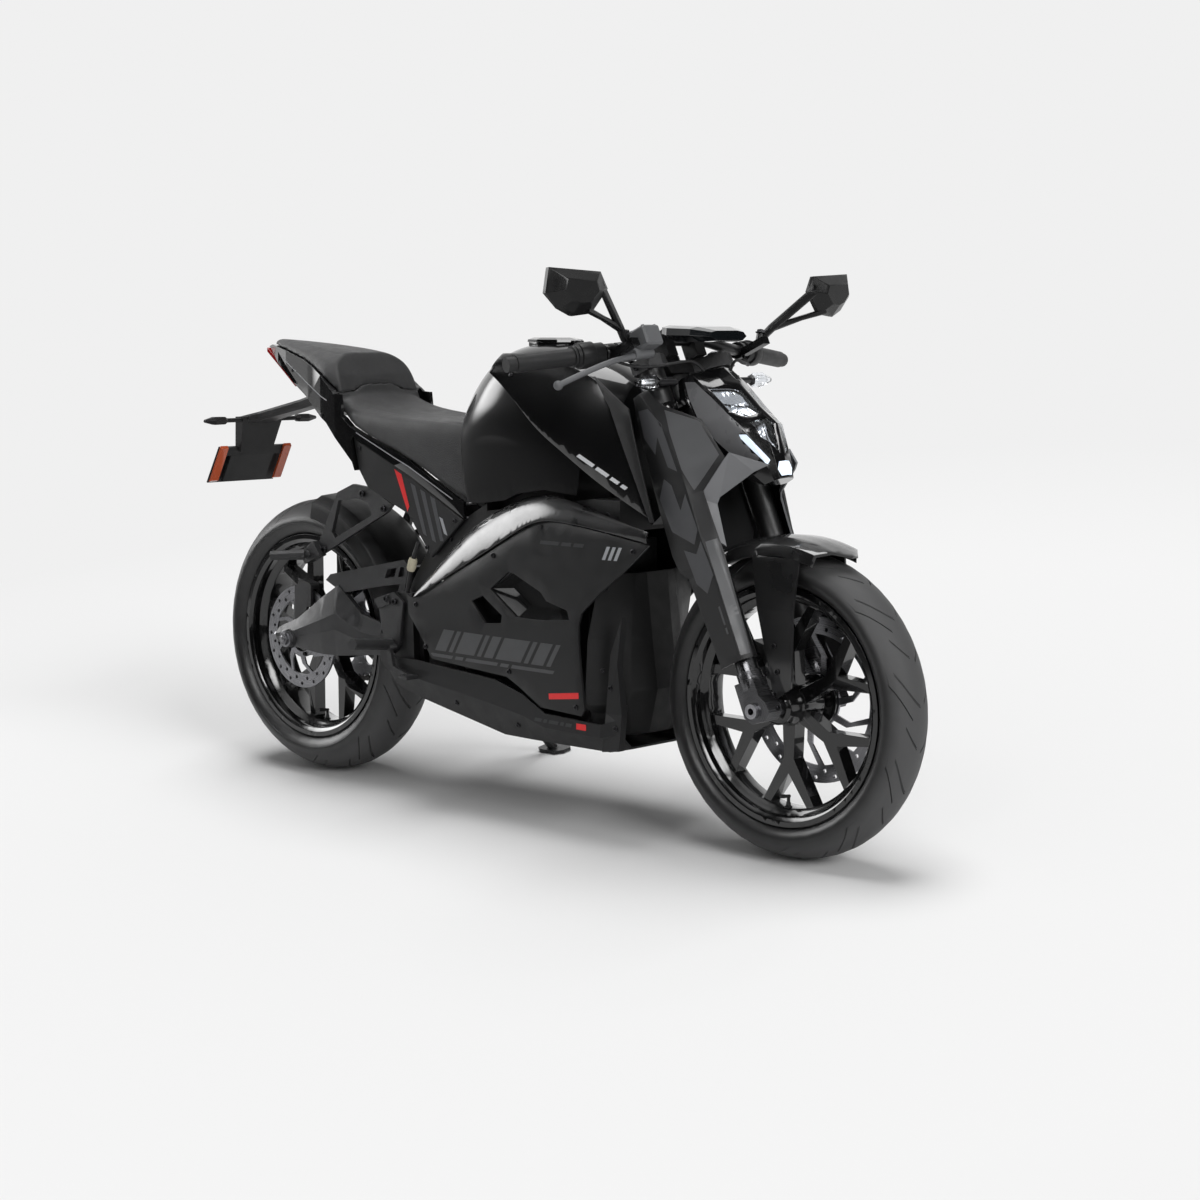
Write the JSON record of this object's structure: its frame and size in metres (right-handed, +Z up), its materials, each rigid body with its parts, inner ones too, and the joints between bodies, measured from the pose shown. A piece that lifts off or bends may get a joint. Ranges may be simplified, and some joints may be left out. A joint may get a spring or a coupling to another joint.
{
  "type": "sport motorcycle",
  "caption": "Naked electric sport motorcycle standing on its side stand, with faceted covers, a stepped seat and cast wheels.",
  "frame": {"origin": "middle of the bounding box in X and Y, at the ground", "axes": "+X forward, +Y to the rider's left, +Z up; the bike leans to +Y on its side stand"},
  "size_m": [1.956, 0.8684, 1.1624],
  "materials": {
    "gloss_black": "gloss",
    "matte_black": "matte",
    "satin_grey": "satin",
    "cast_black": "satin",
    "frame_black": "satin",
    "machined": "satin",
    "steel": "brushed",
    "tyre": "matte",
    "seat": "matte",
    "grip_rubber": "matte",
    "clear_lens": "gloss",
    "lamp_white": "gloss",
    "mirror": "gloss",
    "lens_red": "gloss",
    "reflector_amber": "gloss",
    "blank_plate": "satin"
  },
  "bodies": {
    "chassis": {"frame": "frame_black", "battery_block": "frame_black", "motor_block": "frame_black", "swing_arm": "cast_black", "rear_hugger": "matte_black", "rear_shock": "steel", "drive_chain": "steel", "sprocket_cover": "matte_black", "rear_caliper": "cast_black", "rear_axle": "steel", "side_covers": "matte_black", "shoulder_covers": "gloss_black", "belly_cowl": "matte_black", "front_cowl": "matte_black", "tank_cover": "gloss_black", "tank_shrouds": "gloss_black", "shroud_strips": "matte_black", "rider_seat": "seat", "pillion_seat": "seat", "tail_cowl": "gloss_black", "subframe_covers": "matte_black", "tail_lamp": "lens_red", "plate_bracket": "matte_black", "number_plate": "blank_plate", "rear_reflectors": "reflector_amber", "rear_indicators": "matte_black", "pillion_footrests": "cast_black", "rider_footrests": "cast_black", "wiring_lead": "grip_rubber"},
    "steering": {"fork_sliders": "machined", "fork_outer_tubes": "frame_black", "steering_yokes": "cast_black", "handlebar": "frame_black", "grips": "grip_rubber", "switch_housings": "matte_black", "front_brake_master": "satin_grey", "mirrors": "matte_black", "mirror_glass": "mirror", "dash_display": "gloss_black", "headlamp_mask": "matte_black", "headlamp_lenses": "clear_lens", "position_lamps": "lamp_white", "front_indicators": "clear_lens", "fork_shrouds": "matte_black", "fork_wings": "satin_grey", "front_mudguard": "gloss_black", "front_axle": "steel", "front_caliper": "cast_black"},
    "front_wheel": {"front_rim": "gloss_black", "front_tyre": "tyre", "front_disc": "steel"},
    "rear_wheel": {"rear_rim": "gloss_black", "rear_tyre": "tyre", "rear_disc": "steel", "rear_sprocket": "steel"},
    "side_stand": {"side_stand": "frame_black"},
    "charge_lid": {"charge_lid": "gloss_black"}
  },
  "joints": [
    {"name": "steering", "type": "hinge", "parent": "chassis", "child": "steering", "pos_m": [0.404, -0.03672, 0.8339], "axis": [-0.4067, 0.1586, 0.8997], "range_deg": [-30, 30]},
    {"name": "front_wheel", "type": "hinge", "parent": "steering", "child": "front_wheel", "pos_m": [0.685, -0.13266, 0.28983], "axis": [0, 0.9848, -0.1736], "continuous": true},
    {"name": "rear_wheel", "type": "hinge", "parent": "chassis", "child": "rear_wheel", "pos_m": [-0.655, -0.1304, 0.30263], "axis": [0, 0.9848, -0.1736], "continuous": true},
    {"name": "side_stand", "type": "hinge", "parent": "chassis", "child": "side_stand", "pos_m": [-0.291, 0.00505, 0.23001], "axis": [0.0005, 0.9035, 0.4285], "range_deg": [0, 93.5]},
    {"name": "charge_lid", "type": "hinge", "parent": "chassis", "child": "charge_lid", "pos_m": [0.121, -0.0157, 0.9531], "axis": [0, 0.9848, -0.1736], "range_deg": [0, 75]}
  ]
}
